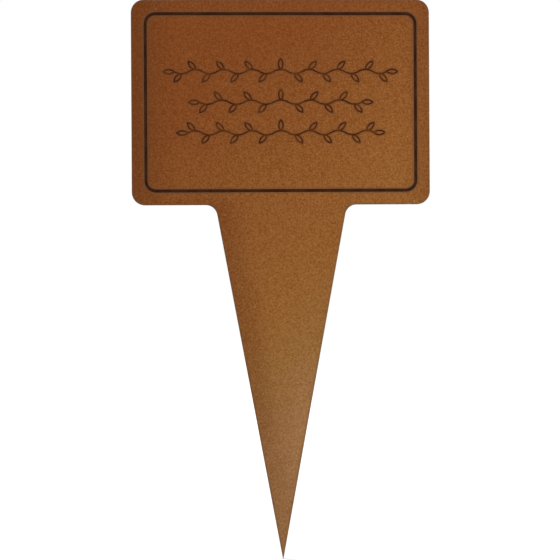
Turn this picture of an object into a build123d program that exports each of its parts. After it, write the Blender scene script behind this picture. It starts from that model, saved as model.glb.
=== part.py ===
"""A plant label stake: one flat sheet, a label panel on a pointed blade, with engraved and filled lines.

Lengths are in millimetres. The blank stands upright with its label facing -Y, +X to the right of the
label and +Z up. The origin is the tip of the blade, in the middle of the sheet's thickness.
"""

from build123d import *
import math
import os

# Sheet blank
sheet_thickness = 1.5
panel_width = 80.0
panel_height = 55.0
panel_corner_radius = 3.5
blade_length = 95.0
neck_width = 35.3
neck_radius = 3.1
tip_radius = 0.06

# Engraved grooves and the enamel in them
groove_depth = 0.3
enamel_recess = 0.08
enamel_side_clearance = 0.01
cut_overrun = 0.5

# Border line, a rounded frame measured to the middle of the line
border_inset = 3.8
border_radius = 2.7
border_line_width = 0.8

# Leafy sprigs, one in each of three rows, with their margins measured from the border line
sprig_line_width = 0.42
stem_wave_length = 3.85
stem_wave_height = 0.55
leaf_length = 2.9
leaf_width = 1.15
leaf_lean_degrees = 42.0
sprig_row_gap = 1.3
upper_sprig_margin = 4.8
middle_sprig_margin = 11.5
lower_sprig_margin = 8.3

# Planes and places worked out from the sizes above
front_face = Plane.XZ.offset(sheet_thickness / 2)
groove_floor = front_face.offset(-groove_depth)
panel_top = blade_length + panel_height
panel_middle = blade_length + panel_height / 2
frame_width = panel_width - 2 * border_inset
frame_height = panel_height - 2 * border_inset
sprig_row_spacing = 2 * (stem_wave_height + leaf_length) + sprig_row_gap

# Each row of the ornament: its margin on either side, and its height above the panel's middle
sprig_rows = {
    "upper": (upper_sprig_margin, sprig_row_spacing),
    "middle": (middle_sprig_margin, 0),
    "lower": (lower_sprig_margin, -sprig_row_spacing),
}


def blade_apex():
    """Where the blade's flanks would cross, a little below zero, so that its rounded tip ends at zero."""
    half_neck = neck_width / 2
    rise = blade_length - tip_radius
    flank_angle = math.atan2(half_neck, rise) - math.asin(tip_radius / math.hypot(half_neck, rise))
    return tip_radius - tip_radius / math.sin(flank_angle)


def round_corners(outline, points, radius):
    """The outline with the corners at these points rounded."""
    corners = [outline.vertices().sort_by_distance(point)[0] for point in points]
    return fillet(corners, radius)


def blank_outline():
    """The flat shape of the sheet: a panel with round corners on a long pointed blade."""
    apex = (0, blade_apex())
    left_neck, right_neck = [(side * neck_width / 2, blade_length) for side in (-1, 1)]
    left_side, right_side = -panel_width / 2, panel_width / 2
    panel_corners = [
        (left_side, blade_length),
        (left_side, panel_top),
        (right_side, panel_top),
        (right_side, blade_length),
    ]
    outline = make_face(Polyline(apex, left_neck, *panel_corners, right_neck, close=True))
    outline = round_corners(outline, panel_corners, panel_corner_radius)
    outline = round_corners(outline, [left_neck, right_neck], neck_radius)
    return round_corners(outline, [apex], tip_radius)


def border_line(line_width):
    """The rounded frame that runs round the panel, as a band of the given width."""
    half_line = line_width / 2
    outside = RectangleRounded(frame_width + line_width, frame_height + line_width, border_radius + half_line)
    inside = RectangleRounded(frame_width - line_width, frame_height - line_width, border_radius - half_line)
    return Pos(0, panel_middle) * (outside - inside)


def leaf(line_width):
    """The outline of one leaf as a band of even width, from its foot at the origin up to its point."""
    foot = (0, 0)
    point = (0, leaf_length)
    left_edge = ThreePointArc(foot, (-leaf_width / 2, leaf_length / 2), point)
    right_edge = ThreePointArc(point, (leaf_width / 2, leaf_length / 2), foot)
    blade = make_face([left_edge, right_edge])
    return offset(blade, line_width / 2) - offset(blade, -line_width / 2, kind=Kind.INTERSECTION)


def stem_waves(stem_length):
    """A stem's wave length, and each wave's middle with 1 where it bulges up and -1 where it bulges down.

    The waves are about as long as named and odd in number, and the middle one bulges up.
    """
    waves_each_side = round((stem_length / stem_wave_length - 1) / 2)
    wave_length = stem_length / (2 * waves_each_side + 1)
    steps = range(-waves_each_side, waves_each_side + 1)
    return wave_length, [(step * wave_length, 1 if step % 2 == 0 else -1) for step in steps]


def stem(stem_length, line_width):
    """A wavy stem of equal arcs, as a band with round ends."""
    wave_length, waves = stem_waves(stem_length)
    arcs = []
    for middle, side in waves:
        start, end = middle - wave_length / 2, middle + wave_length / 2
        arcs.append(ThreePointArc((start, 0), (middle, side * stem_wave_height), (end, 0)))
    return make_face(offset(Wire(arcs), line_width / 2, kind=Kind.ARC, side=Side.BOTH).edges())


def sprig(row, line_width):
    """One row of the ornament: a stem with a leaf on every wave, leaning outwards, and one at each end."""
    margin, height = sprig_rows[row]
    stem_length = frame_width - 2 * (margin + leaf_length)
    wave_length, waves = stem_waves(stem_length)
    one_leaf = leaf(line_width)
    leaves = []
    for middle, side in waves:
        outwards = (middle > 0) - (middle < 0)
        turn = (0 if side > 0 else 180) - outwards * side * leaf_lean_degrees
        leaves.append(Pos(middle, side * stem_wave_height) * Rot(0, 0, turn) * one_leaf)
    for outwards in (-1, 1):
        leaves.append(Pos(outwards * stem_length / 2, 0) * Rot(0, 0, -90 * outwards) * one_leaf)
    return Pos(0, panel_middle + height) * (stem(stem_length, line_width) + leaves)


def groove(flat_shape):
    """The space that a flat shape takes out of the front face."""
    return extrude(front_face.offset(cut_overrun) * flat_shape, -(groove_depth + cut_overrun))


def enamel(flat_shape):
    """Enamel that lies on a groove's floor and stops a little below the front face."""
    return extrude(groove_floor * flat_shape, groove_depth - enamel_recess)


def stake_plate():
    """The sheet blank with every groove cut into its front face."""
    plate = extrude(Plane.XZ * blank_outline(), sheet_thickness / 2, both=True)
    plate -= groove(border_line(border_line_width))
    for row in sprig_rows:
        plate -= groove(sprig(row, sprig_line_width))
    return plate


def border_enamel():
    """The enamel in the border line."""
    return enamel(border_line(border_line_width - 2 * enamel_side_clearance))


def sprig_enamel(row):
    """The enamel in one row of the ornament."""
    return enamel(sprig(row, sprig_line_width - 2 * enamel_side_clearance))


os.makedirs("parts", exist_ok=True)
export_step(stake_plate(), "parts/stake_plate.step")
export_step(border_enamel(), "parts/border_enamel.step")
for row in sprig_rows:
    export_step(sprig_enamel(row), f"parts/{row}_sprig_enamel.step")
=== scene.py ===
"""Dresses a packed plant label stake: a brown coated steel sheet with enamel in its engraved lines."""

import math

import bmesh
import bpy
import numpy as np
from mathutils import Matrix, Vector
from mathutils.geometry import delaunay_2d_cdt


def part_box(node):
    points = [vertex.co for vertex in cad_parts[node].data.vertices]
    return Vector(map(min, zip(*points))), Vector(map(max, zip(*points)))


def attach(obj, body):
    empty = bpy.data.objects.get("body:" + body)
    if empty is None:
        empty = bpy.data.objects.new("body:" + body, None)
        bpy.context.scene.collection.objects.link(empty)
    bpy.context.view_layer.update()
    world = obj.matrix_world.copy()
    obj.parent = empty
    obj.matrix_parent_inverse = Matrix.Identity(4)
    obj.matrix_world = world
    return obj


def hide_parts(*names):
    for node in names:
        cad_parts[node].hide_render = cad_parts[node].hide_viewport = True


bl_info = {
    "name": "Plant Label Stake",
    "version": (1, 0, 0),
    "blender": (4, 5, 0),
    "location": "3D Viewport > Sidebar > Label Stake",
    "description": "Builds the shapes, the finishes and the studio of an engraved plant label stake",
    "category": "Object",
}

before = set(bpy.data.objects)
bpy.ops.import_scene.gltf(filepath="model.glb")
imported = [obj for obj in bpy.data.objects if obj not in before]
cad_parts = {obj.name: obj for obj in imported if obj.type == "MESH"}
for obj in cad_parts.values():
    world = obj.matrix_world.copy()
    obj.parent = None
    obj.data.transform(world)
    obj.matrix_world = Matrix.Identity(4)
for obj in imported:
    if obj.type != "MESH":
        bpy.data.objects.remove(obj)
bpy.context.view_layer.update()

# A millimetre in metres, which is what the scene is measured in
mm = 0.001

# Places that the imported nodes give
sheet_lowest, sheet_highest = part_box("stake_plate")
border_lowest, border_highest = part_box("border_enamel")
sheet_width = sheet_highest[0] - sheet_lowest[0]
sheet_top = sheet_highest[2]
front_y, back_y = sheet_lowest[1], sheet_highest[1]

# The rows of the ornament, from the top, and how many row spacings each stands above the panel's middle
rows = {"upper": 1, "middle": 0, "lower": -1}

# How finely round shapes are divided
corner_steps = 12
edge_steps = 5
stem_steps = 10
leaf_steps = 12
cap_steps = 8

# How the face is divided beside a groove: at shares of the rim's softness, and then at wider gaps
rim_shares = [0, 0.3, 1]
face_gaps = [0.2 * mm, 0.45 * mm, 0.8 * mm]

# How the enamel is divided: at shares of its half width
enamel_shares = [1, 0.75, 0.4]

# Points closer together than this are one point
weld = 0.0005 * mm
cdt_gap_mm = 0.00001

# How rough the enamels are, how deep their grain is, and how many grains wide their pits and streaks are
border_roughness = 0.5
sprig_roughness = 0.6
enamel_relief = 0.02 * mm
pit_grains = 3
streak_grains = 16

# The camera's sensor, and the nearest and the farthest thing that it sees
sensor_width_mm = 36.0
nearest_seen = 0.01
farthest_seen = 20.0

# The width and the height of each lamp, the floor's width, and where its glow changes
key_size = (0.3, 0.16)
back_size = (0.22, 0.22)
floor_width = 4.0
glow_changes = (0.25, 0.6)


class Wire:
    """What comes out of a node. Sums on a wire that carries a number add Math nodes to its tree."""

    def __init__(self, nodes, socket):
        self.nodes = nodes
        self.socket = socket

    def maths(self, operation, *values):
        """A Math node of this operation on this wire and the other values."""
        return self.nodes.maths(operation, self, *values)

    def __add__(self, other):
        return self.maths("ADD", other)

    def __sub__(self, other):
        return self.maths("SUBTRACT", other)

    def __rsub__(self, other):
        return self.nodes.maths("SUBTRACT", other, self)

    def __mul__(self, other):
        return self.maths("MULTIPLY", other)

    def __truediv__(self, other):
        return self.maths("DIVIDE", other)

    def __gt__(self, other):
        return self.maths("GREATER_THAN", other)

    def __lt__(self, other):
        return self.maths("LESS_THAN", other)

    def __abs__(self):
        return self.maths("ABSOLUTE")

    def __neg__(self):
        return self.maths("MULTIPLY", -1.0)

    __radd__ = __add__
    __rmul__ = __mul__

    def limited(self, lowest, highest):
        """The wire's number, held between two numbers."""
        return self.maths("MAXIMUM", lowest).maths("MINIMUM", highest)

    def between(self, first, last):
        """A number that goes from the first to the last as the wire's goes from 0 to 1."""
        return self * (last - first) + first


class Nodes:
    """Adds nodes to a tree and joins them up."""

    def __init__(self, tree):
        self.tree = tree
        tree.nodes.clear()

    def add(self, kind, settings=None, sockets=None, out=None):
        """A node of a kind. Its settings are set first, then its sockets get their values or wires.

        It gives the wire of its first output, or of the one named in out, or a list of wires for a tuple.
        """
        node = self.tree.nodes.new(kind)
        for name, value in (settings or {}).items():
            if name == "stops":
                self.set_stops(node.color_ramp, value)
            else:
                setattr(node, name, value)
        for key, value in (sockets or {}).items():
            self.feed(self.find(node.inputs, key), value)
        if isinstance(out, tuple):
            return [Wire(self, self.find(node.outputs, name)) for name in out]
        if out is not None:
            return Wire(self, self.find(node.outputs, out))
        outputs = [socket for socket in node.outputs if socket.enabled]
        return Wire(self, outputs[0]) if outputs else None

    def feed(self, socket, value):
        """Gives a socket a value, a wire, or a list of wires if it takes several."""
        if isinstance(value, list):
            for wire in reversed(value):
                self.feed(socket, wire)
        elif isinstance(value, Wire):
            self.tree.links.new(value.socket, socket)
        else:
            socket.default_value = value

    @staticmethod
    def find(sockets, key):
        """The socket at a place in the list, or the one in use that has this name."""
        if isinstance(key, int):
            return sockets[key]
        return next(socket for socket in sockets if socket.name == key and socket.enabled)

    @staticmethod
    def set_stops(ramp, stops):
        """Gives a colour ramp these stops, each a place and a colour."""
        while len(ramp.elements) < len(stops):
            ramp.elements.new(1.0)
        for element, (place, colour) in zip(ramp.elements, stops):
            element.position = place
            element.color = colour

    def maths(self, operation, *values):
        """A Math node of an operation on wires and numbers."""
        return self.add("ShaderNodeMath", {"operation": operation}, dict(enumerate(values)))

    def point(self, x, y, z):
        """A place or a direction from three numbers."""
        return self.add("ShaderNodeCombineXYZ", None, {0: x, 1: y, 2: z})

    def parts(self, vector):
        """The three numbers of a place or a direction."""
        return self.add("ShaderNodeSeparateXYZ", None, {0: vector}, ("X", "Y", "Z"))


class Finish(Nodes):
    """The nodes of a material."""

    def __init__(self, name):
        self.material = bpy.data.materials.new(name)
        self.material.use_nodes = True
        super().__init__(self.material.node_tree)

    def place_on_object(self):
        """The place on the object, in metres."""
        return self.add("ShaderNodeTexCoord", out="Object")

    def mix(self, share, first, second):
        """A share of the second colour in the first."""
        settings = {"data_type": "RGBA", "clamp_factor": True}
        return self.add("ShaderNodeMix", settings, {"Factor": share, "A": first, "B": second})

    def with_tint(self, colour, tint, amount):
        """The colour with an amount of a tint added to it, or taken from it where that is less than 0."""
        tint = self.add("ShaderNodeVectorMath", {"operation": "SCALE"}, {0: tint, "Scale": amount})
        tinted = self.add("ShaderNodeVectorMath", {"operation": "ADD"}, {0: colour, 1: tint})
        return self.add("ShaderNodeVectorMath", {"operation": "MAXIMUM"}, {0: tinted, 1: (0.0, 0.0, 0.0)})

    def smooth(self, value, start, end):
        """Goes from 0 to 1 with a soft start and end, as the value goes from start to end."""
        sockets = {"Value": value, "From Min": start, "From Max": end}
        return self.add("ShaderNodeMapRange", {"interpolation_type": "SMOOTHSTEP"}, sockets)

    def noise(self, place, size, detail, roughness):
        """Noise from 0 to 1 with lumps about as large as size, and so much finer detail in them."""
        sockets = {"Vector": place, "Scale": 1 / size, "Detail": detail, "Roughness": roughness}
        return self.add("ShaderNodeTexNoise", {"noise_dimensions": "3D"}, sockets, "Fac")

    def bump(self, height, depth, under=None):
        """A relief whose height goes from 0 to 1 over the given depth."""
        sockets = {"Strength": 1.0, "Distance": depth, "Height": height}
        if under is not None:
            sockets["Normal"] = under
        return self.add("ShaderNodeBump", None, sockets)

    def surface(self, sockets):
        """Ends the material: a surface with these values."""
        surface = self.add("ShaderNodeBsdfPrincipled", None, sockets, "BSDF")
        self.add("ShaderNodeOutputMaterial", None, {"Surface": surface})
        return self.material


class Shapes(Nodes):
    """The nodes of a tree that makes shapes, with named inputs."""

    def __init__(self, name, numbers, objects=(), meshes=()):
        super().__init__(bpy.data.node_groups.new(name, "GeometryNodeTree"))
        interface = self.tree.interface
        kinds = {"Geometry": meshes, "Object": objects, "Float": numbers, "Material": ["Material"]}
        self.identifiers = {}
        for kind, labels in kinds.items():
            for label in labels:
                made = interface.new_socket(name=label, in_out="INPUT", socket_type=f"NodeSocket{kind}")
                self.identifiers[label] = made.identifier
        interface.new_socket(name="Geometry", in_out="OUTPUT", socket_type="NodeSocketGeometry")

    def given(self, label):
        """The wire of a named input."""
        return self.add("NodeGroupInput", out=label)

    def join(self, *geometries):
        """Several geometries as one."""
        return self.add("GeometryNodeJoinGeometry", None, {"Geometry": list(geometries)})

    def placed(self, geometry, place):
        """The geometry with each point put at a place of its own."""
        return self.add("GeometryNodeSetPosition", None, {"Geometry": geometry, "Position": place})

    def moved(self, geometry, offset, selection=True):
        """The geometry with the selected points moved by an offset."""
        sockets = {"Geometry": geometry, "Offset": offset, "Selection": selection}
        return self.add("GeometryNodeSetPosition", None, sockets)

    def sunk(self, mesh, depth, selection, out="Mesh"):
        """The mesh with the selected faces pushed in along Y as one region, with walls round it."""
        return self.add("GeometryNodeExtrudeMesh", {"mode": "FACES"}, {
            "Mesh": mesh,
            "Selection": selection,
            "Offset": self.point(0.0, 1.0, 0.0),
            "Offset Scale": depth,
            "Individual": False,
        }, out)

    def lines_of(self, label):
        """The lines of the object that a named input holds."""
        settings = {"transform_space": "RELATIVE"}
        return self.add("GeometryNodeObjectInfo", settings, {"Object": self.given(label)}, "Geometry")

    def near_lines(self, *labels):
        """How far a place is from the nearest line in the objects that these inputs hold."""
        lines = self.join(*[self.lines_of(label) for label in labels])
        return self.add("GeometryNodeProximity", {"target_element": "EDGES"}, {0: lines}, "Distance")

    def stored(self, geometry, name, value, domain):
        """The geometry with a number kept on it under a name, and the wire that reads it back."""
        settings = {"data_type": "FLOAT", "domain": domain}
        sockets = {"Geometry": geometry, "Name": name, "Value": value}
        kept = self.add("GeometryNodeStoreNamedAttribute", settings, sockets)
        kind = {"data_type": "FLOAT"}
        return kept, self.add("GeometryNodeInputNamedAttribute", kind, {"Name": name}, "Attribute")

    def without(self, geometry, name):
        """The geometry without a number that was kept on it."""
        return self.add("GeometryNodeRemoveAttribute", None, {"Geometry": geometry, "Name": name})

    def finish(self, geometry):
        """Ends the tree: real geometry with its material."""
        real = self.add("GeometryNodeRealizeInstances", None, {"Geometry": geometry})
        coated = {"Geometry": real, "Material": self.given("Material")}
        self.add("NodeGroupOutput", None, {"Geometry": self.add("GeometryNodeSetMaterial", None, coated)})
        return self


def in_scene(name, data):
    """An object with this data, in the scene."""
    made = bpy.data.objects.new(name, data)
    bpy.context.scene.collection.objects.link(made)
    return made


def grown(name, mesh, shapes, values):
    """An object with the plain mesh that a tree makes out of a mesh, with these values on its inputs."""
    made = in_scene(name, mesh)
    modifier = made.modifiers.new(name, "NODES")
    modifier.node_group = shapes.tree
    for label, value in values.items():
        modifier[shapes.identifiers[label]] = value
    depsgraph = bpy.context.evaluated_depsgraph_get()
    plain = bpy.data.meshes.new_from_object(made.evaluated_get(depsgraph))
    made.modifiers.clear()
    made.data = plain
    plain.name = name
    return made


def setting(kind, name, description, default, **more):
    """Something that the user can change."""
    return kind(name=name, description=description, default=default, **more)


def length_setting(name, description, default):
    """A length, with its default in millimetres."""
    return setting(bpy.props.FloatProperty, name, description, default * mm, unit="LENGTH")


def angle_setting(name, description, default):
    """An angle, with its default in degrees."""
    return setting(bpy.props.FloatProperty, name, description, math.radians(default), subtype="ANGLE")


def share_setting(name, description, default):
    """A share from 0 to 1."""
    return setting(bpy.props.FloatProperty, name, description, default, min=0, max=1, subtype="FACTOR")


def power_setting(name, description, default):
    """A lamp's power in watts."""
    return setting(bpy.props.FloatProperty, name, description, default, min=0, unit="POWER")


def place_setting(name, description, default):
    """A place, with its default in millimetres."""
    place = [part * mm for part in default]
    return setting(bpy.props.FloatVectorProperty, name, description, place, subtype="TRANSLATION")


def colour_setting(name, description, default):
    """A colour."""
    limits = {"size": 4, "min": 0, "max": 1, "subtype": "COLOR"}
    return setting(bpy.props.FloatVectorProperty, name, description, (*default, 1), **limits)


class SheetSizes(bpy.types.PropertyGroup):
    """Sizes of the sheet that its box alone doesn't give."""

    blade_length: length_setting("Blade length", "From the point up to the panel", 95)
    neck_width: length_setting("Neck width", "Width of the blade at the panel", 35.3)
    neck_radius: length_setting("Neck radius", "Round inner corners beside the neck", 3.1)
    corner_radius: length_setting("Corner radius", "Round corners of the panel", 3.5)
    tip_radius: length_setting("Tip radius", "Round end of the point", 0.06)
    edge_softness: length_setting("Edge softness", "Round arris all round both faces", 0.14)


class LineSizes(bpy.types.PropertyGroup):
    """Sizes of the engraved lines and what fills them."""

    border_width: length_setting("Border width", "Width of the border line's groove", 0.8)
    border_radius: length_setting("Border radius", "Round corners of the border line", 2.7)
    sprig_width: length_setting("Sprig line width", "Width of the sprigs' grooves", 0.42)
    groove_depth: length_setting("Groove depth", "Depth of every groove", 0.3)
    rim_softness: length_setting("Rim softness", "Round rim on both sides of a groove", 0.045)
    enamel_clearance: length_setting("Enamel clearance", "Between the enamel and a wall", 0.01)
    enamel_recess: length_setting("Enamel recess", "From the face down to the enamel", 0.08)
    enamel_dish: length_setting("Enamel dish", "How far the enamel dips between its walls", 0.05)
    border_grain: length_setting("Border grain", "Grains of the border line's enamel", 0.2)
    sprig_grain: length_setting("Sprig grain", "Grains of the sprigs' enamel", 0.15)


class SprigSizes(bpy.types.PropertyGroup):
    """Sizes of the leafy ornament."""

    wave_length: length_setting("Wave length", "About how long one wave of a stem is", 3.85)
    wave_height: length_setting("Wave height", "How far a stem bulges to each side", 0.55)
    leaf_length: length_setting("Leaf length", "From a leaf's foot to its point", 2.9)
    leaf_width: length_setting("Leaf width", "Across a leaf", 1.15)
    leaf_lean: angle_setting("Leaf lean", "Turn of a leaf outwards", 42)
    row_gap: length_setting("Row gap", "Between the reach of one row and the next", 1.3)
    upper_margin: length_setting("Upper margin", "Beside the upper row", 4.8)
    middle_margin: length_setting("Middle margin", "Beside the middle row", 11.5)
    lower_margin: length_setting("Lower margin", "Beside the lower row", 8.3)


class CoatSizes(bpy.types.PropertyGroup):
    """Sizes of what shows in the coat."""

    coarse_grain: length_setting("Coarse grain", "Largest grains of the coat", 0.44)
    main_grain: length_setting("Main grain", "Most grains of the coat", 0.26)
    fine_grain: length_setting("Fine grain", "Smallest grains of the coat", 0.09)
    mottle: length_setting("Mottle", "Lighter and darker patches", 3.2)
    clouds: length_setting("Clouds", "Slow changes over the whole sheet", 22)
    flake_cell: length_setting("Flake cell", "A cell this wide may hold a golden flake", 0.34)
    # How far the painted shade reaches in from a side
    shade_reach: length_setting("Dense reach", "How far in from a side the coat is dense", 10)
    rim_soot: length_setting("Rim soot", "How far soot reaches in from the outline", 0.75)
    groove_soot: length_setting("Groove soot", "How far soot reaches from a groove", 0.7)
    cut_width: length_setting("Cut width", "Fine cuts across the edge", 0.14)
    worn_spot: length_setting("Worn spots", "How large the worn spots of the arris are", 1.3)


class Colours(bpy.types.PropertyGroup):
    """Colours of the coat, the enamels and the floor."""

    # The coat colours along the drift down the sheet hold painted light as well as the coat's tone: darker at
    # the upper left, paler with a painted sheen low on the blade
    coat_russet: colour_setting("Coat, russet", "At the panel's upper left", (0.212, 0.058, 0.012))
    coat_copper: colour_setting("Coat, copper", "At the foot of the panel", (0.262, 0.099, 0.0225))
    coat_bronze: colour_setting("Coat, bronze", "Halfway down the blade", (0.272, 0.122, 0.0325))
    coat_ochre: colour_setting("Coat, ochre", "Low on the blade", (0.300, 0.141, 0.0545))
    coat_umber: colour_setting("Coat, umber", "At the point", (0.268, 0.127, 0.048))
    # Painted shade: the colour of the darker coat along the sides and the flanks, most of all at the left
    shaded: colour_setting("Dense coat", "Where the coat is dense", (0.130, 0.034, 0.008))
    grain: colour_setting("Grain", "Light grains have more of it, dark ones less", (0.300, 0.162, 0.060))
    # Also the tint of the painted highlight at the right of the blade's lower half
    pale_grain_and_highlight: colour_setting("Pale grain", "The same, low on the blade", (0.300, 0.212, 0.117))
    flake: colour_setting("Flake", "Golden flakes in the coat", (0.60, 0.34, 0.10))
    soot: colour_setting("Soot", "Dust beside the grooves and the outline", (0.105, 0.060, 0.034))
    scorch: colour_setting("Scorch", "Burnt coat on the grooves' walls", (0.030, 0.012, 0.006))
    cuts: colour_setting("Cuts", "Fine cuts across the edge", (0.085, 0.030, 0.011))
    worn: colour_setting("Worn arris", "Steel where the arris is worn", (0.40, 0.29, 0.20))
    border_dark: colour_setting("Border, dark", "Enamel of the border line", (0.030, 0.008, 0.0018))
    border_light: colour_setting("Border, light", "Lighter grains of it", (0.062, 0.018, 0.005))
    sprig_dark: colour_setting("Sprig, dark", "Enamel of the sprigs", (0.066, 0.0115, 0.0003))
    sprig_light: colour_setting("Sprig, light", "Lighter grains of it", (0.165, 0.040, 0.0012))
    floor: colour_setting("Floor", "The pale floor", (0.85, 0.85, 0.85))


class StudioSettings(bpy.types.PropertyGroup):
    """The camera, the light and the floor."""

    camera_distance: length_setting("Camera distance", "From the camera to the sheet", 600)
    picture_width: length_setting("Picture width", "What the picture covers at the sheet", 150.34)
    aim: place_setting("Aim", "Place in the middle of the picture", (-0.44, 0, 74.82))
    yaw: angle_setting("Yaw", "Turn of the view to the right", 2.52)
    pitch: angle_setting("Pitch", "Turn of the view upwards", -0.243)
    roll: angle_setting("Roll", "Turn of the camera about its view", -0.318)
    key_place: place_setting("Key lamp", "Place of the lamp at the lower right", (300, -340, 90))
    key_power: power_setting("Key power", "Its power", 0.73)
    key_colour: colour_setting("Key colour", "Colour of its light", (1.0, 0.97, 0.92))
    back_place: place_setting("Back lamp", "Place of the lamp behind the sheet", (-500, 600, 600))
    back_power: power_setting("Back power", "Its power", 3.6)
    world_strength: share_setting("World strength", "Plain light from all round", 0.6)
    near_glow: share_setting("Near glow", "How much the floor glows near the stake", 0.34)
    far_glow: share_setting("Far glow", "How much it glows further out", 0.52)


def frame_size(lines):
    """The width and the height of the border, to the middle of its line."""
    enamel_width = lines.border_width - 2 * lines.enamel_clearance
    width = border_highest[0] - border_lowest[0] - enamel_width
    return width, border_highest[2] - border_lowest[2] - enamel_width


def panel_middle(sheet):
    """The height of the panel's middle."""
    return (sheet_top + sheet.blade_length) / 2


def blade_flank(sheet):
    """Where the blade's flanks would cross, and the angle between a flank and the middle line."""
    half_neck = sheet.neck_width / 2
    rise = sheet.blade_length - sheet.tip_radius
    angle = math.atan2(half_neck, rise) - math.asin(sheet.tip_radius / math.hypot(half_neck, rise))
    return sheet.tip_radius - sheet.tip_radius / math.sin(angle), angle


def rounded_box_distance(x, z, half_width, half_height, radius):
    """How far a place is outside a box with round corners, less than 0 inside it."""
    past_side = abs(x) - (half_width - radius)
    past_top = abs(z) - (half_height - radius)
    out_x = past_side.maths("MAXIMUM", 0.0)
    out_z = past_top.maths("MAXIMUM", 0.0)
    outside = (out_x * out_x + out_z * out_z).maths("SQRT")
    inside = past_side.maths("MAXIMUM", past_top).maths("MINIMUM", 0.0)
    return outside + inside - radius


def outline_distance(x, z, sheet):
    """How far a place on the face lies inside the sheet's outline."""
    above_middle = z - panel_middle(sheet)
    half_height = (sheet_top - sheet.blade_length) / 2
    panel = rounded_box_distance(x, above_middle, sheet_width / 2, half_height, sheet.corner_radius)
    apex, flank = blade_flank(sheet)
    blade = abs(x) * math.cos(flank) - (z - apex) * math.sin(flank)
    blade = blade.maths("MAXIMUM", above_middle)
    return -panel.maths("SMOOTH_MIN", blade, sheet.neck_radius)


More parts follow.
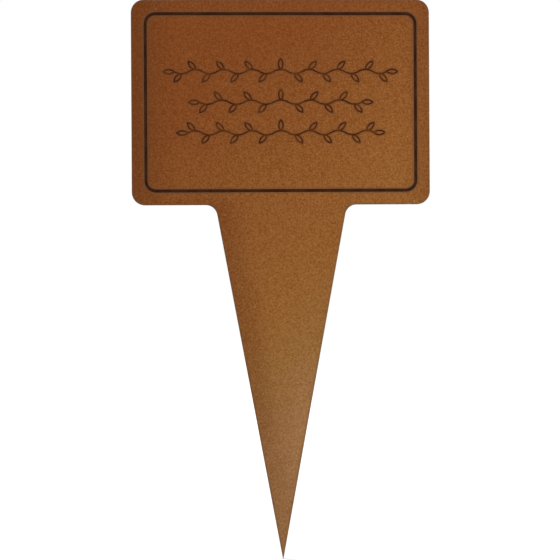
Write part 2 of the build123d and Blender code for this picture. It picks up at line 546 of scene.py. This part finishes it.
class Coat(Finish):
    """The nodes of the sheet's coat, which share where a place lies and how the grain falls there.

    Where a value is a pair, a change starts at the first number and is done at the second.
    """

    # Changes by height above the point, for the painted shade by the flanks and the painted highlight, and
    # one by height above the panel's foot
    flank_begins = (5 * mm, 40 * mm)
    highlight_begins = (12 * mm, 24 * mm)
    highlight_ends = (70 * mm, 28 * mm)
    panel_begins = (-2 * mm, 5 * mm)

    # Changes by distance from the outline
    margin_begins = (4.5 * mm, 1.5 * mm)
    field_begins = (5 * mm, 6 * mm)
    side_begins = (0.1 * mm, 0.02 * mm)
    arris_begins = (0.0, 0.03 * mm)
    arris_ends = (0.16 * mm, 0.11 * mm)
    rim_soot_full = 0.1 * mm

    # Changes of a groove's wall, by depth under the face and by distance from the groove's side
    wall_depth = (0.02 * mm, 0.1 * mm)
    wall_gap = (0.05 * mm, 0.01 * mm)

    # Changes across the blade, by share of half its width: of the painted shade at the left and of the
    # painted highlight at the right
    left_begins = (0.6, -0.6)
    highlight_side_begins = (0.0, 0.7)

    # Changes of the grain's strength and of its colour, by the drift down the sheet, which follow its painted
    # sheen
    strong_grain_begins = (-0.1, 0.3)
    pale_grain_begins = (0.25, 0.85)

    # Which cells hold a flake, by chance, and where in its cell a flake is
    flake_chance = (0.96, 1.0)
    flake_begins = (0.5, 0.15)

    # Which parts of the arris are worn, by a noise of their own and by the fine grain
    rubbed_begins = (0.6, 0.66)
    rubbed_grains = (0.35, 0.5)

    # How unevenly the soot ends beside the outline and beside a groove
    rim_soot_drift = 0.35 * mm
    groove_soot_drift = 0.3 * mm

    # How the colour drifts down the sheet, from 0 at the panel's upper left to 1 at the point. The drift is
    # partly the coat's own tone and partly painted light: darker at the upper left, paler and greyer with a
    # painted sheen towards the point
    drift_length = 140 * mm
    drift_middle = 72 * mm
    drift_slant = 0.75
    cloud_drift, mottle_drift = 0.12, 0.1

    # How strong the painted shade is by the flanks, by the sides and along the panel's outline, what share of
    # that the right side has, and how much further the left one reaches
    flank_density, right_flank_share = 0.43, 0.14
    side_density, right_side_share = 0.54, 0.63
    margin_shade = 0.08
    left_reach = 4 * mm

    # How strong the painted highlight of pale gold is on the blade's lower right
    painted_highlight = 0.07

    # How strong the grain is in the russet and in the rest, and how much of that the painted shade hides
    russet_grain, full_grain = 1.1, 1.65
    hidden_grain = 0.55

    # How sooty the outline is, and what share of a groove's soot is left on the panel's field
    rim_soot_share = 0.6
    field_soot_share = 0.65

    # What is left of the thickness in the noise of the fine cuts, which draws them out through the sheet
    cut_stretch = 0.04

    # How deep the grain and the fine cuts are
    grain_relief = 0.03 * mm
    cut_relief = 0.05 * mm

    def __init__(self, sheet, sizes, colours):
        super().__init__("brown_coated_steel")
        self.sheet, self.sizes, self.colours = sheet, sizes, colours
        self.place = self.place_on_object()
        self.x, self.y, self.z = self.parts(self.place)
        self.from_rim = outline_distance(self.x, self.z, sheet)
        self.from_groove = self.add("ShaderNodeAttribute", {"attribute_name": "beside_groove"}, None, "Fac")

        # Grain at three sizes, and how light it makes a place: 0.5 is as light as a coat without it
        self.coarse = self.noise(self.place, sizes.coarse_grain, detail=1.5, roughness=0.5)
        self.grain = self.noise(self.place, sizes.main_grain, detail=4.0, roughness=0.65)
        self.fine = self.noise(self.place, sizes.fine_grain, detail=3.0, roughness=0.7)
        self.lightness = self.coarse * 0.5 + self.grain * 0.4 + self.fine * 0.25 - 0.075

        # Slow changes over the whole sheet: random mottle and clouds, and the drift down it, which is partly
        # painted light
        self.mottle = self.noise(self.place, sizes.mottle, detail=3.0, roughness=0.55)
        clouds = self.noise(self.place, sizes.clouds, detail=3.0, roughness=0.5)
        drift = (self.x * self.drift_slant - self.z + self.drift_middle) / self.drift_length + 0.5
        self.drift = drift + (clouds - 0.5) * self.cloud_drift + (self.mottle - 0.5) * self.mottle_drift

    def zones(self):
        """The coat's colour without its grain, with its painted light, and how much painted shade it has."""
        colours = self.colours
        # The coat's tone down the sheet, with painted light in it: darker at the upper left, paler and greyer
        # with a painted sheen towards the point
        colour = self.add("ShaderNodeValToRGB", {"stops": [
            (0.0, colours.coat_russet),
            (0.5, colours.coat_copper),
            (0.65, colours.coat_bronze),
            (0.78, colours.coat_ochre),
            (0.88, colours.coat_umber),
        ]}, {"Fac": self.drift}, "Color")

        # Painted shade: darker beside the blade's flanks and the panel's sides, most of all at the left, and
        # a little along the panel's outline
        apex, flank = blade_flank(self.sheet)
        half_blade = (self.z - apex) * math.tan(flank)
        across = self.x / half_blade
        left = self.smooth(across, *self.left_begins)
        reach = self.sizes.shade_reach
        on_panel = self.smooth(self.z - self.sheet.blade_length, *self.panel_begins)
        by_flank = self.smooth(half_blade - abs(self.x), reach, 0.0) * left.between(self.right_flank_share, 1)
        by_flank = by_flank * (1 - on_panel) * self.smooth(self.z, *self.flank_begins)
        by_side = self.smooth(sheet_width / 2 - abs(self.x), left * self.left_reach + reach, 0.0)
        by_side = by_side * left.between(self.right_side_share, 1)
        shaded = (by_flank * self.flank_density).maths("MAXIMUM", by_side * self.side_density)
        shaded = shaded + self.smooth(self.from_rim, *self.margin_begins) * on_panel * self.margin_shade
        colour = self.mix(shaded, colour, colours.shaded)

        # Painted highlight: paler at the right of the blade's lower half
        pale = self.smooth(self.z, *self.highlight_begins) * self.smooth(self.z, *self.highlight_ends)
        pale = pale * self.smooth(across, *self.highlight_side_begins) * self.painted_highlight
        return self.with_tint(colour, colours.pale_grain_and_highlight[:3], pale), shaded

    def grained(self, colour, shaded):
        """The colour with its grain: pale gold added by light grains and taken by dark ones. The grain grows
        stronger and paler down the sheet with the painted sheen, and weaker under the painted shade.
        """
        strength = self.smooth(self.drift, *self.strong_grain_begins)
        strength = strength.between(self.russet_grain, self.full_grain) * (1 - shaded * self.hidden_grain)
        pale = self.smooth(self.drift, *self.pale_grain_begins)
        tint = self.mix(pale, self.colours.grain, self.colours.pale_grain_and_highlight)
        return self.with_tint(colour, tint, (self.lightness - 0.5) * strength)

    def flakes(self):
        """Where the golden flakes are, each in a cell with a chance of its own."""
        sockets = {"Vector": self.place, "Scale": 1 / self.sizes.flake_cell}
        near, cell = self.add("ShaderNodeTexVoronoi", {"feature": "F1"}, sockets, ("Distance", "Color"))
        chance = self.add("ShaderNodeSeparateColor", None, {0: cell}, "Red")
        return self.smooth(chance, *self.flake_chance) * self.smooth(near, *self.flake_begins)

    def soot(self):
        """How sooty it is along the outline and beside the grooves, where the field has less."""
        from_rim = self.from_rim + (self.mottle - 0.5) * self.rim_soot_drift
        by_rim = self.smooth(from_rim, self.sizes.rim_soot, self.rim_soot_full) * self.rim_soot_share
        from_groove = self.from_groove + (self.coarse - 0.5) * self.groove_soot_drift
        by_groove = self.smooth(from_groove, self.sizes.groove_soot, 0.0)
        on_field = self.smooth(self.from_rim, *self.field_begins)
        by_groove = by_groove * on_field.between(1, self.field_soot_share)
        return by_rim.maths("MAXIMUM", by_groove) * (self.lightness * 0.9 + 0.25)

    def walls(self):
        """Where the grooves' walls are."""
        return self.smooth(self.y - front_y, *self.wall_depth) * self.smooth(self.from_groove, *self.wall_gap)

    def cuts(self):
        """Fine cuts that run through the sheet's thickness."""
        drawn_out = self.point(self.x, self.y * self.cut_stretch, self.z)
        return self.noise(drawn_out, self.sizes.cut_width, detail=2.0, roughness=0.6)

    def worn(self):
        """Where the arris is worn, which is in a few places."""
        arris = self.smooth(self.from_rim, *self.arris_ends) * self.smooth(self.from_rim, *self.arris_begins)
        rubbed = self.noise(self.place, self.sizes.worn_spot, detail=3.0, roughness=0.65)
        rubbed = self.smooth(rubbed, *self.rubbed_begins) * self.smooth(self.fine, *self.rubbed_grains)
        return arris * rubbed


def brown_coated_steel(sheet, sizes, colours):
    """Satin coppery brown coat: fine grain, golden flakes, soot from the cutting and burnt groove walls, with
    painted shade along the sides and painted light and sheen down the sheet.
    """
    coat = Coat(sheet, sizes, colours)
    flakes, walls, cuts, worn = coat.flakes(), coat.walls(), coat.cuts(), coat.worn()
    side = coat.smooth(coat.from_rim, *coat.side_begins)

    # Each layer over the grain, and how much it hides
    layers = [
        (colours.flake, flakes * 0.45),
        (colours.soot, coat.soot()),
        (colours.scorch, walls * 0.9),
        (colours.cuts, side * coat.smooth(cuts, 0.35, 0.7) * 0.5),
        (colours.worn, worn * 0.8),
    ]
    colour = coat.grained(*coat.zones())
    for layer, share in layers:
        colour = coat.mix(share, colour, layer)

    roughness = 0.46 + (coat.grain - 0.5) * 0.22 + (coat.mottle - 0.5) * 0.12
    relief = coat.bump(coat.lightness, coat.grain_relief)
    return coat.surface({
        "Base Color": colour,
        "Roughness": roughness - flakes * 0.12 + walls * 0.25 - worn * 0.1,
        "Metallic": 0.35 + flakes * 0.5 - walls * 0.35 + worn * 0.4,
        "Normal": coat.bump(side * cuts, coat.cut_relief, relief),
        "Specular IOR Level": 0.2,
        "Specular Tint": (1.0, 0.8, 0.45, 1.0),
    })


def enamel_finish(name, dark, light, roughness, grain_size):
    """Dark enamel with hardly any sheen: grained, a little pitted, and lighter in streaks."""
    finish = Finish(name)
    place = finish.place_on_object()
    grain = finish.noise(place, grain_size, detail=3.0, roughness=0.6)
    pits = finish.noise(place, grain_size * pit_grains, detail=2.0, roughness=0.5)
    streaks = finish.noise(place, grain_size * streak_grains, detail=1.0, roughness=0.5)
    lightness = finish.smooth(grain * 0.35 + pits * 0.25 + streaks * 0.4, 0.38, 0.64)
    return finish.surface({
        "Base Color": finish.mix(lightness, dark, light),
        "Roughness": roughness + (grain - 0.5) * 0.3,
        "Normal": finish.bump(grain, enamel_relief),
        "Specular IOR Level": 0.04,
    })


def sprig_lines_shapes():
    """Draws one row of the ornament: a wavy stem with a leaf on every wave and one at each end."""
    lengths = ["Stem Length", "Wave Length", "Wave Height", "Leaf Length", "Leaf Width", "Row Height", "Face"]
    shapes = Shapes("sprig_lines", [*lengths, "Leaf Lean"])
    stem_length = shapes.given("Stem Length")
    wave_height = shapes.given("Wave Height")
    leaf_length = shapes.given("Leaf Length")
    waves_each_side = ((stem_length / shapes.given("Wave Length") - 1) / 2).maths("ROUND")
    waves = waves_each_side * 2 + 1
    wave_length = stem_length / waves
    index = shapes.add("GeometryNodeInputIndex")

    # The stem is a run of equal arcs that bulge up and down in turn
    along = index / stem_steps
    wave = along.maths("FLOOR").maths("MINIMUM", waves - 1)
    bulge = 1 - (wave - waves_each_side).maths("PINGPONG", 1.0) * 2
    from_crest = (along - wave - 0.5) * wave_length
    arc_radius = (wave_height * wave_height + wave_length * wave_length / 4) / (wave_height * 2)
    arc_rise = (arc_radius * arc_radius - from_crest * from_crest).maths("SQRT") - arc_radius + wave_height
    stem = shapes.add("GeometryNodeMeshLine", None, {"Count": waves * stem_steps + 1})
    stem = shapes.placed(stem, shapes.point(along * wave_length - stem_length / 2, 0.0, arc_rise * bulge))

    # A leaf is two arcs from its foot up to its point
    arcs = [
        shapes.add("GeometryNodeCurveArc", {"mode": "POINTS"}, {
            "Resolution": leaf_steps + 1,
            "Start": (0.0, 0.0, 0.0),
            "Middle": shapes.point(shapes.given("Leaf Width") * (edge / 2), 0.0, leaf_length / 2),
            "End": shapes.point(0.0, 0.0, leaf_length),
        }, "Curve")
        for edge in (-1, 1)
    ]
    leaf = shapes.add("GeometryNodeCurveToMesh", None, {"Curve": shapes.join(*arcs)})

    # One leaf stands on every crest and leans outwards, and one lies at each end of the stem
    crest = index - 1 - waves_each_side
    up = 1 - crest.maths("PINGPONG", 1.0) * 2
    outwards = crest.maths("SIGN")
    at_end = abs(crest) > waves_each_side + 0.5
    on_crest = 1 - at_end
    turn = ((1 - up) * (math.pi / 2) - outwards * up * shapes.given("Leaf Lean")) * on_crest
    turn = turn - outwards * (math.pi / 2) * at_end
    foot_x = crest * wave_length * on_crest + outwards * (stem_length / 2) * at_end
    feet = shapes.add("GeometryNodeMeshLine", None, {"Count": waves + 2})
    feet = shapes.placed(feet, shapes.point(foot_x, 0.0, up * wave_height * on_crest))
    leaves = shapes.add("GeometryNodeInstanceOnPoints", None, {
        "Points": feet,
        "Instance": leaf,
        "Rotation": shapes.point(0.0, -turn, 0.0),
    })
    row = shapes.add("GeometryNodeRealizeInstances", None, {"Geometry": shapes.join(stem, leaves)})
    on_face = shapes.point(0.0, shapes.given("Face"), shapes.given("Row Height"))
    return shapes.finish(shapes.moved(row, on_face))


def border_line_shapes():
    """Draws the border line: a box with round corners."""
    shapes = Shapes("border_line", ["Width", "Height", "Radius", "Middle Height", "Face"])
    sides = {"Width": shapes.given("Width"), "Height": shapes.given("Height")}
    box = shapes.add("GeometryNodeCurvePrimitiveQuadrilateral", {"mode": "RECTANGLE"}, sides)
    rounding = {"Curve": box, "Count": corner_steps, "Radius": shapes.given("Radius")}
    box = shapes.add("GeometryNodeFilletCurve", {"mode": "POLY"}, rounding)
    line = shapes.add("GeometryNodeCurveToMesh", None, {"Curve": box})
    across, up, _ = shapes.parts(shapes.add("GeometryNodeInputPosition"))
    upright = shapes.point(across, shapes.given("Face"), up + shapes.given("Middle Height"))
    return shapes.finish(shapes.placed(line, upright))


def engraved_sheet_shapes():
    """Sinks the grooves into the face of a blank, with softly rounded rims."""
    shapes = Shapes(
        "engraved_sheet",
        ["Border Half Width", "Sprig Half Width", "Groove Depth", "Rim Softness"],
        ["Border Line", "Upper Sprig", "Middle Sprig", "Lower Sprig"],
        ["Geometry"],
    )
    from_border = shapes.near_lines("Border Line") - shapes.given("Border Half Width")
    near_sprig = shapes.near_lines("Upper Sprig", "Middle Sprig", "Lower Sprig")
    from_groove = from_border.maths("MINIMUM", near_sprig - shapes.given("Sprig Half Width"))
    sheet, face_beside = shapes.stored(shapes.given("Geometry"), "face_beside_groove", from_groove, "FACE")
    sheet, beside = shapes.stored(sheet, "beside_groove", from_groove, "POINT")

    # A rim rounds off towards its groove, and the face sinks between the rims
    softness = shapes.given("Rim Softness")
    into_rim = 1 - (beside / softness).limited(0.0, 1.0)
    rim_drop = softness * (1 - (1 - into_rim * into_rim).maths("SQRT"))
    sheet = shapes.moved(sheet, shapes.point(0.0, rim_drop, 0.0))
    sheet = shapes.sunk(sheet, shapes.given("Groove Depth") - softness, face_beside < 0.0)
    return shapes.finish(shapes.without(sheet, "face_beside_groove"))


def enamel_shapes():
    """Fills grooves: flat faces near the lines are kept, and get a floor, sides and a dished top."""
    shapes = Shapes("enamel", ["Half Width", "Groove Depth", "Recess", "Dish"], ["Lines"], ["Geometry"])
    half_width = shapes.given("Half Width")
    near_line = shapes.near_lines("Lines")
    flat, face_near = shapes.stored(shapes.given("Geometry"), "face_near_line", near_line, "FACE")
    flat, near = shapes.stored(flat, "near_line", near_line, "POINT")
    too_far = {"Geometry": flat, "Selection": face_near > half_width}
    flat = shapes.add("GeometryNodeDeleteGeometry", {"domain": "FACE", "mode": "ALL"}, too_far)
    depth = shapes.given("Groove Depth")
    floor = shapes.moved(flat, shapes.point(0.0, depth, 0.0))
    block, top = shapes.sunk(floor, shapes.given("Recess") - depth, True, ("Mesh", "Top"))
    across = (near / half_width).limited(0.0, 1.0)
    dip = shapes.given("Dish") * (1 - across * across)
    block = shapes.moved(block, shapes.point(0.0, dip, 0.0), top)
    under = shapes.add("GeometryNodeFlipFaces", None, {"Mesh": floor})
    closed = {"Geometry": shapes.join(block, under), "Distance": weld}
    closed = shapes.add("GeometryNodeMergeByDistance", None, closed)
    return shapes.finish(shapes.without(shapes.without(closed, "face_near_line"), "near_line"))


def runs_of(mesh):
    """The lines in a mesh of edges: each one's points in millimetres along X and Z, and if it is closed."""
    places = np.array([(vertex.co.x, vertex.co.z) for vertex in mesh.vertices]) / mm
    edges = {tuple(sorted(edge.vertices)) for edge in mesh.edges}
    runs, first = [], 0
    for last in range(len(places)):
        if (last, last + 1) not in edges:
            runs.append((places[first:last + 1], (first, last) in edges))
            first = last + 1
    return runs


def loops_beside(line, distance):
    """Loops that run round a line at a distance from it: one round an open line, two along a closed one."""
    points, closed = line
    along = np.roll(points, -1, 0) - np.roll(points, 1, 0) if closed else np.gradient(points, axis=0)
    along /= np.linalg.norm(along, axis=1)[:, None]
    across = np.stack([-along[:, 1], along[:, 0]], 1)
    left, right = points + across * distance, points - across * distance
    if closed:
        return [left, right]
    turn = np.linspace(0, math.pi, cap_steps + 1)[1:-1, None]
    far_end = points[-1] + distance * (across[-1] * np.cos(turn) + along[-1] * np.sin(turn))
    near_end = points[0] - distance * (across[0] * np.cos(turn) + along[0] * np.sin(turn))
    return [np.concatenate([left, far_end, right[::-1], near_end])]


def filled(loops):
    """Points in millimetres and triangles that fill the loops, with every loop kept as edges."""
    points, edges = [], []
    for loop in loops:
        first, count = len(points), len(loop)
        points.extend(Vector(place) for place in loop)
        edges.extend((first + step, first + (step + 1) % count) for step in range(count))
    inside_edges = 1
    result = delaunay_2d_cdt(points, edges, [], inside_edges, cdt_gap_mm)
    return result[0], result[2]


def rounded_outline(corners):
    """An outline with round corners: its points, and at each one the direction straight into the shape.

    The corners go round counterclockwise, each a place and a radius. One with no radius is a point on a
    straight side.
    """
    points, inwards = [], []
    places = [np.array(place) for place, _ in corners]
    for number, (_, radius) in enumerate(corners):
        corner = places[number]
        back = places[number - 1] - corner
        on = places[(number + 1) % len(corners)] - corner
        back, on = back / np.linalg.norm(back), on / np.linalg.norm(on)
        if radius == 0:
            points.append(corner)
            inwards.append(np.array([-on[1], on[0]]))
            continue
        half_angle = math.acos(np.clip(back @ on, -1, 1)) / 2
        bulges = 1 if on[0] * back[1] - on[1] * back[0] > 0 else -1
        middle = corner + (back + on) / np.linalg.norm(back + on) * radius / math.sin(half_angle)
        spoke = corner + back * radius / math.tan(half_angle) - middle
        for angle in np.linspace(0, bulges * (math.pi - 2 * half_angle), corner_steps + 1):
            turned = Matrix.Rotation(angle, 2) @ Vector(spoke)
            points.append(middle + turned)
            inwards.append(-np.array(turned) * bulges / radius)
    return np.array(points), np.array(inwards)


def sheet_outline(sheet):
    """The sheet's outline, counterclockwise from the point of the blade."""
    apex, flank = blade_flank(sheet)
    half_neck, half_panel = sheet.neck_width / 2, sheet_width / 2

    # A mark on each flank, well above where the arrises of the two flanks meet
    mark_rise = 3 * sheet.edge_softness / math.sin(flank)
    right = [
        ((mark_rise * math.tan(flank), apex + mark_rise), 0),
        ((half_neck, sheet.blade_length), sheet.neck_radius),
        ((half_panel, sheet.blade_length), sheet.corner_radius),
        ((half_panel, sheet_top), sheet.corner_radius),
    ]
    left = [((-x, z), radius) for (x, z), radius in reversed(right)]
    return rounded_outline([((0, apex), sheet.tip_radius), *right, *left])


def inset_outline(sheet, outline, inset):
    """The outline moved into the sheet, without its two flanks crossing near the point."""
    points, inwards = outline
    moved = points + inwards * inset
    apex, flank = blade_flank(sheet)
    apex += inset / math.sin(flank)
    on_blade = moved[:, 1] < sheet.blade_length / 2
    height = np.where(on_blade, np.maximum(moved[:, 1], apex), moved[:, 1])
    reach = np.where(on_blade, (height - apex) * math.tan(flank), np.inf)
    return np.stack([np.clip(moved[:, 0], -reach, reach), height], 1)


def blank_mesh(sheet, loops):
    """The sheet before it is engraved: a face divided along loops, soft arrises, sides and a back."""
    outline = sheet_outline(sheet)
    softness = sheet.edge_softness
    turns = [math.pi / 2 * step / edge_steps for step in range(edge_steps + 1)]
    arris = [(softness * (1 - math.sin(turn)), softness * (1 - math.cos(turn))) for turn in turns]
    levels = [(inset, front_y + depth) for inset, depth in arris]
    levels += [(inset, back_y - depth) for inset, depth in reversed(arris)]

    built = bmesh.new()
    rings = [
        [built.verts.new((x, y, z)) for x, z in inset_outline(sheet, outline, inset)]
        for inset, y in levels
    ]
    for ring, behind in zip(rings, rings[1:]):
        for step in range(len(ring)):
            corners = (ring[step - 1], behind[step - 1], behind[step], ring[step])
            built.faces.new(corners).smooth = True
    built.faces.new(reversed(rings[-1]))
    face_loop = inset_outline(sheet, outline, softness) / mm
    points, triangles = filled([face_loop, *loops])
    face = [built.verts.new((x * mm, front_y, z * mm)) for x, z in points]
    for triangle in triangles:
        built.faces.new([face[corner] for corner in triangle])
    bmesh.ops.remove_doubles(built, verts=built.verts, dist=weld)
    bmesh.ops.dissolve_degenerate(built, edges=built.edges, dist=weld)
    mesh = bpy.data.meshes.new("blank")
    built.to_mesh(mesh)
    built.free()
    return mesh


def flat_mesh(loops):
    """Flat faces that fill the loops, in the plane of the sheet's face."""
    points, triangles = filled(loops)
    mesh = bpy.data.meshes.new("flat")
    mesh.from_pydata([(x * mm, front_y, z * mm) for x, z in points], [], triangles)
    return mesh


def border_guide(scene):
    """The line along the middle of the border's groove."""
    width, height = frame_size(scene.stake_lines)
    return grown("border_guide", bpy.data.meshes.new("empty"), border_line_shapes(), {
        "Width": width,
        "Height": height,
        "Radius": scene.stake_lines.border_radius,
        "Middle Height": panel_middle(scene.stake_sheet),
        "Face": front_y,
    })


def sprig_guides(scene):
    """The lines along the middle of the sprigs' grooves, from the upper row down."""
    sprigs = scene.stake_sprigs
    width, _ = frame_size(scene.stake_lines)
    row_spacing = 2 * (sprigs.wave_height + sprigs.leaf_length) + sprigs.row_gap
    shapes = sprig_lines_shapes()
    guides = []
    for row, steps_up in rows.items():
        margin = getattr(sprigs, f"{row}_margin")
        guides.append(grown(f"{row}_sprig_guide", bpy.data.meshes.new("empty"), shapes, {
            "Stem Length": width - 2 * (margin + sprigs.leaf_length),
            "Wave Length": sprigs.wave_length,
            "Wave Height": sprigs.wave_height,
            "Leaf Length": sprigs.leaf_length,
            "Leaf Width": sprigs.leaf_width,
            "Leaf Lean": sprigs.leaf_lean,
            "Row Height": panel_middle(scene.stake_sheet) + steps_up * row_spacing,
            "Face": front_y,
        }))
    return guides


def remove(guides):
    """Takes the guide lines away once their pieces are made."""
    for guide in guides:
        bpy.data.objects.remove(guide)


def guide_loops(guide, distances):
    """Loops beside a guide line at each of these distances, given in metres."""
    runs = runs_of(guide.data)
    return [loop for distance in distances for run in runs for loop in loops_beside(run, distance / mm)]


class STAKE_OT_sheet(bpy.types.Operator):
    """Make the coated steel sheet with its grooves"""

    bl_idname = "stake.sheet"
    bl_label = "Steel sheet"

    def execute(self, context):
        scene = context.scene
        sheet, lines = scene.stake_sheet, scene.stake_lines
        border, sprigs = border_guide(scene), sprig_guides(scene)
        border_half, sprig_half = lines.border_width / 2, lines.sprig_width / 2
        gaps = [share * lines.rim_softness for share in rim_shares] + face_gaps
        loops = guide_loops(border, [border_half + gap for gap in gaps])
        for sprig in sprigs:
            loops += guide_loops(sprig, [sprig_half + gap for gap in gaps])
        steel = grown("steel_sheet", blank_mesh(sheet, loops), engraved_sheet_shapes(), {
            "Border Line": border,
            "Upper Sprig": sprigs[0],
            "Middle Sprig": sprigs[1],
            "Lower Sprig": sprigs[2],
            "Border Half Width": border_half,
            "Sprig Half Width": sprig_half,
            "Groove Depth": lines.groove_depth,
            "Rim Softness": lines.rim_softness,
            "Material": brown_coated_steel(sheet, scene.stake_coat, scene.stake_colours),
        })
        remove([border, *sprigs])
        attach(steel, "root")
        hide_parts("stake_plate")
        return {"FINISHED"}


def enamel_piece(name, guide, groove_width, lines, shapes, material):
    """The enamel in one groove."""
    half_width = groove_width / 2 - lines.enamel_clearance
    loops = guide_loops(guide, [half_width * share for share in enamel_shares])
    return grown(name, flat_mesh(loops), shapes, {
        "Lines": guide,
        "Half Width": half_width,
        "Groove Depth": lines.groove_depth,
        "Recess": lines.enamel_recess,
        "Dish": lines.enamel_dish,
        "Material": material,
    })


class STAKE_OT_border(bpy.types.Operator):
    """Make the enamel of the border line"""

    bl_idname = "stake.border"
    bl_label = "Border enamel"

    def execute(self, context):
        scene = context.scene
        lines, colours = scene.stake_lines, scene.stake_colours
        dark, light = colours.border_dark, colours.border_light
        material = enamel_finish("border_enamel", dark, light, border_roughness, lines.border_grain)
        guide = border_guide(scene)
        fill = enamel_piece("border_fill", guide, lines.border_width, lines, enamel_shapes(), material)
        remove([guide])
        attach(fill, "root")
        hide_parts("border_enamel")
        return {"FINISHED"}


class STAKE_OT_sprigs(bpy.types.Operator):
    """Make the enamel of the three leafy sprigs"""

    bl_idname = "stake.sprigs"
    bl_label = "Sprig enamels"

    def execute(self, context):
        scene = context.scene
        lines, colours = scene.stake_lines, scene.stake_colours
        dark, light = colours.sprig_dark, colours.sprig_light
        material = enamel_finish("sprig_enamel", dark, light, sprig_roughness, lines.sprig_grain)
        shapes = enamel_shapes()
        guides = sprig_guides(scene)
        for row, guide in zip(rows, guides):
            fill = enamel_piece(f"{row}_sprig_fill", guide, lines.sprig_width, lines, shapes, material)
            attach(fill, "root")
            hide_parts(f"{row}_sprig_enamel")
        remove(guides)
        return {"FINISHED"}


def seen_directly(nodes):
    """1 where the camera, a reflection or a clear body looks straight at the surface, and 0 elsewhere."""
    rays = ("Is Camera Ray", "Is Glossy Ray", "Is Transmission Ray")
    camera, glossy, clear = nodes.add("ShaderNodeLightPath", None, None, rays)
    return camera.maths("MAXIMUM", glossy).maths("MAXIMUM", clear)


def studio_world(strength):
    """A world that lights with a strength, and is plain white where it is seen."""
    world = bpy.data.worlds.new("studio")
    world.use_nodes = True
    nodes = Nodes(world.node_tree)
    light = seen_directly(nodes).between(strength, 1)
    background = nodes.add("ShaderNodeBackground", None, {"Color": (1, 1, 1, 1), "Strength": light})
    nodes.add("ShaderNodeOutputWorld", None, {"Surface": background})
    return world


def pale_floor(studio, colour):
    """A plain pale floor that looks white. It glows less near the stake, and so keeps its shadow there."""
    half = floor_width / 2
    mesh = bpy.data.meshes.new("floor")
    mesh.from_pydata([(-half, -half, 0), (half, -half, 0), (half, half, 0), (-half, half, 0)], [], [range(4)])
    floor = in_scene("floor", mesh)
    finish = Finish("pale_floor")
    matte = finish.add("ShaderNodeBsdfDiffuse", None, {"Color": colour})
    x, y, _ = finish.parts(finish.place_on_object())
    far = finish.smooth((x * x + y * y).maths("SQRT"), *glow_changes)
    strength = far.between(studio.near_glow, studio.far_glow) * seen_directly(finish)
    glow = finish.add("ShaderNodeEmission", None, {"Color": strength, "Strength": 1.0})
    both = finish.add("ShaderNodeAddShader", None, {0: matte, 1: glow})
    finish.add("ShaderNodeOutputMaterial", None, {"Surface": both})
    mesh.materials.append(finish.material)


def soft_lamp(name, place, aim, size, power, colour):
    """A large soft lamp that the camera doesn't see, with a width and a height as its size."""
    light = bpy.data.lights.new(name, "AREA")
    light.shape = "RECTANGLE"
    light.size, light.size_y = size
    light.energy = power
    light.color = colour[:3]
    lamp = in_scene(name, light)
    lamp.location = place
    lamp.rotation_mode = "QUATERNION"
    lamp.rotation_quaternion = (Vector(aim) - Vector(place)).to_track_quat("-Z", "Y")
    lamp.visible_camera = False


def aimed_camera(studio):
    """The camera, turned as the photograph was taken."""
    camera = bpy.data.cameras.new("camera")
    camera.sensor_width = sensor_width_mm
    camera.lens = sensor_width_mm * studio.camera_distance / studio.picture_width
    camera.clip_start = nearest_seen
    camera.clip_end = farthest_seen
    turned = Matrix.Rotation(-studio.yaw, 4, "Z") @ Matrix.Rotation(math.pi / 2 + studio.pitch, 4, "X")
    turned = turned @ Matrix.Rotation(studio.roll, 4, "Z")
    back = Matrix.Translation((0, 0, studio.camera_distance))
    holder = in_scene("camera", camera)
    holder.matrix_world = Matrix.Translation(studio.aim) @ turned @ back
    bpy.context.scene.camera = holder


class STAKE_OT_stage(bpy.types.Operator):
    """Set the pale floor, the soft lamps and the camera"""

    bl_idname = "stake.stage"
    bl_label = "Stage"

    def execute(self, context):
        scene = context.scene
        studio = scene.stake_studio
        scene.view_settings.view_transform = "Standard"
        scene.world = studio_world(studio.world_strength)
        pale_floor(studio, scene.stake_colours.floor)
        middle = (0, 0, panel_middle(scene.stake_sheet))
        soft_lamp("key_lamp", studio.key_place, middle, key_size, studio.key_power, studio.key_colour)
        soft_lamp("back_lamp", studio.back_place, middle, back_size, studio.back_power, (1.0, 1.0, 1.0))
        aimed_camera(studio)
        return {"FINISHED"}


operators = (STAKE_OT_sheet, STAKE_OT_border, STAKE_OT_sprigs, STAKE_OT_stage)

setting_groups = {
    "stake_sheet": SheetSizes,
    "stake_lines": LineSizes,
    "stake_sprigs": SprigSizes,
    "stake_coat": CoatSizes,
    "stake_colours": Colours,
    "stake_studio": StudioSettings,
}


class STAKE_PT_panel(bpy.types.Panel):
    """Lists the stake's pieces and settings"""

    bl_idname = "STAKE_PT_panel"
    bl_label = "Label Stake"
    bl_space_type = "VIEW_3D"
    bl_region_type = "UI"
    bl_category = "Label Stake"

    def draw(self, context):
        for operator in operators:
            self.layout.operator(operator.bl_idname, text=operator.bl_label)
        for name, group in setting_groups.items():
            box = self.layout.box()
            for label in group.__annotations__:
                box.prop(getattr(context.scene, name), label)


def register():
    for name, group in setting_groups.items():
        bpy.utils.register_class(group)
        setattr(bpy.types.Scene, name, bpy.props.PointerProperty(type=group))
    for made in (*operators, STAKE_PT_panel):
        bpy.utils.register_class(made)


def unregister():
    for made in reversed((*operators, STAKE_PT_panel)):
        bpy.utils.unregister_class(made)
    for name, group in setting_groups.items():
        delattr(bpy.types.Scene, name)
        bpy.utils.unregister_class(group)


def main():
    """Makes every piece and the stage."""
    register()
    bpy.ops.stake.sheet()
    bpy.ops.stake.border()
    bpy.ops.stake.sprigs()
    bpy.ops.stake.stage()


if __name__ == "__main__":
    main()
